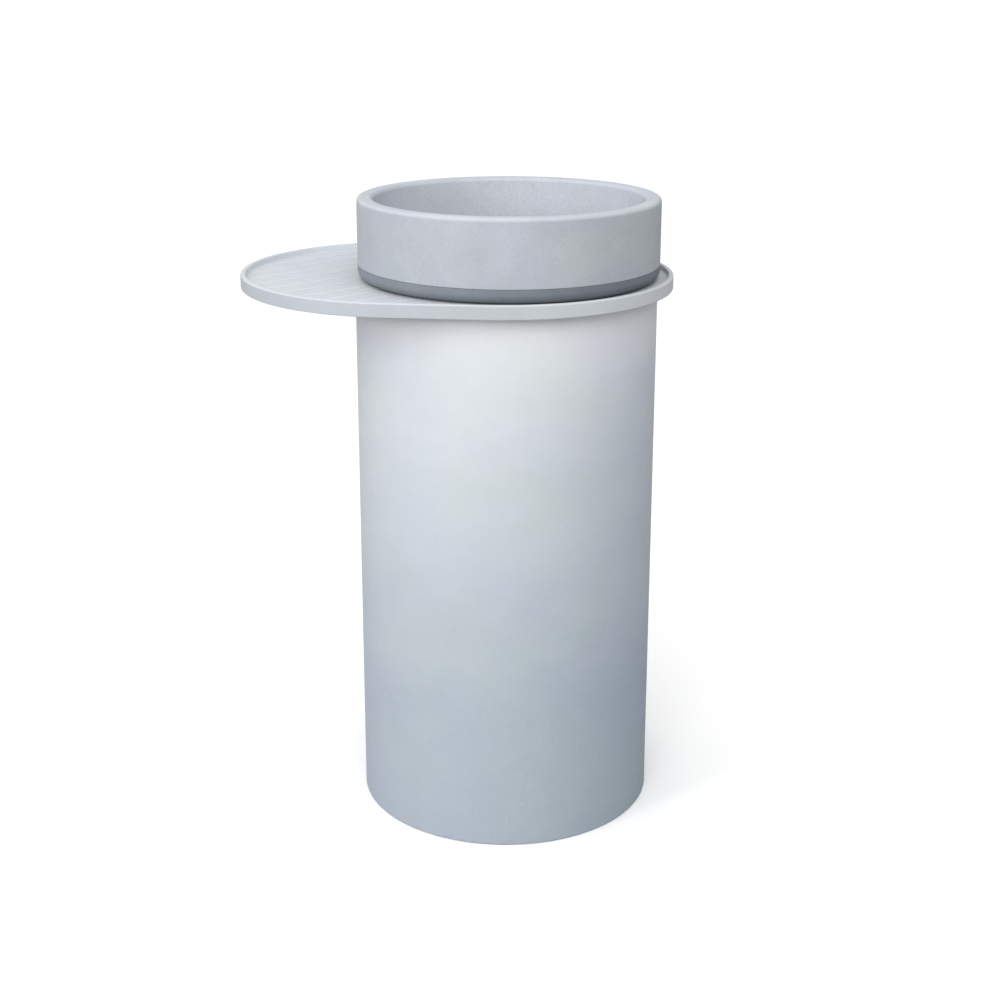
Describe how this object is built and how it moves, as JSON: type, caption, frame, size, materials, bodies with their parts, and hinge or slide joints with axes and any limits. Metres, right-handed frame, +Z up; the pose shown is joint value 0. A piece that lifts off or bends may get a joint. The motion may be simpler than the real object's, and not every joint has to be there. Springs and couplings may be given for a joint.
{
  "type": "pedestal washbasin",
  "caption": "Round concrete vessel basin on an obround ribbed side tray and a hollow cylindrical pedestal, with push-to-close waste and bottle trap inside.",
  "frame": {"origin": "on the floor, under the middle of the tray's obround outline", "axes": "+Z up; -Y is the front; +Y is the back, with the service opening and the outlet pipe; the tray reaches out to -X"},
  "size_m": [0.575, 0.456, 0.839],
  "materials": {
    "pedestal_concrete": "matte",
    "tray_concrete": "matte",
    "bowl_concrete": "matte",
    "base_concrete": "matte",
    "silicone": "satin",
    "rubber": "matte",
    "chrome": "polished",
    "brass": "satin",
    "zinc_steel": "satin",
    "spring_steel": "satin",
    "white_plastic": "satin",
    "black_plastic": "satin"
  },
  "bodies": {
    "root": {"pedestal_shell": "pedestal_concrete", "tray_seal": "silicone", "tray": "tray_concrete", "basin_seal": "silicone", "basin_base": "base_concrete", "basin_bowl": "bowl_concrete", "floor_bracket_1": "zinc_steel", "bracket_bolt_1": "zinc_steel", "stud_insert_1": "brass", "stud_1": "zinc_steel", "stud_washer_1": "zinc_steel", "stud_nut_1": "zinc_steel", "floor_bracket_2": "zinc_steel", "bracket_bolt_2": "zinc_steel", "stud_insert_2": "brass", "stud_2": "zinc_steel", "stud_washer_2": "zinc_steel", "stud_nut_2": "zinc_steel", "floor_bracket_3": "zinc_steel", "bracket_bolt_3": "zinc_steel", "stud_insert_3": "brass", "stud_3": "zinc_steel", "stud_washer_3": "zinc_steel", "stud_nut_3": "zinc_steel", "waste_body": "chrome", "waste_top_gasket": "rubber", "waste_low_gasket": "rubber", "waste_washer": "white_plastic", "waste_backnut": "brass", "waste_strainer": "brass", "cartridge_body": "black_plastic", "cartridge_cap": "black_plastic", "plug_spring": "spring_steel", "trap_inlet_seal": "rubber", "trap_inlet_nut": "white_plastic", "trap_dip_tube": "white_plastic", "trap_top_nut": "white_plastic", "trap_top_seal": "rubber", "trap_body": "white_plastic", "outlet_nut": "white_plastic", "outlet_seal": "rubber", "outlet_pipe": "white_plastic"},
    "plug": {"plug_cap": "chrome", "plug_seal": "rubber", "plug_stem": "brass"},
    "cup_ring": {"cup_seal": "rubber"},
    "cup": {"trap_cup": "white_plastic"}
  },
  "joints": [
    {"name": "plug_press", "type": "slide", "parent": "root", "child": "plug", "axis": [0, 0, -1], "range_m": [0, 0.008], "stiffness_N_per_m": 300, "springref_m": -0.004, "deforming": ["plug_spring"]},
    {"name": "cup_drop", "type": "slide", "parent": "root", "child": "cup_ring", "axis": [0, 0, -1], "range_m": [0, 0.012]},
    {"name": "cup_turn", "type": "hinge", "parent": "cup_ring", "child": "cup", "pos_m": [0.0696, 0, 0.5197], "axis": [0, 0, 1], "range_deg": [0, 1080]}
  ],
  "couplings": [
    {"joint": "cup_drop", "follows": "cup_turn", "m_per_rad": 0.00063662}
  ]
}
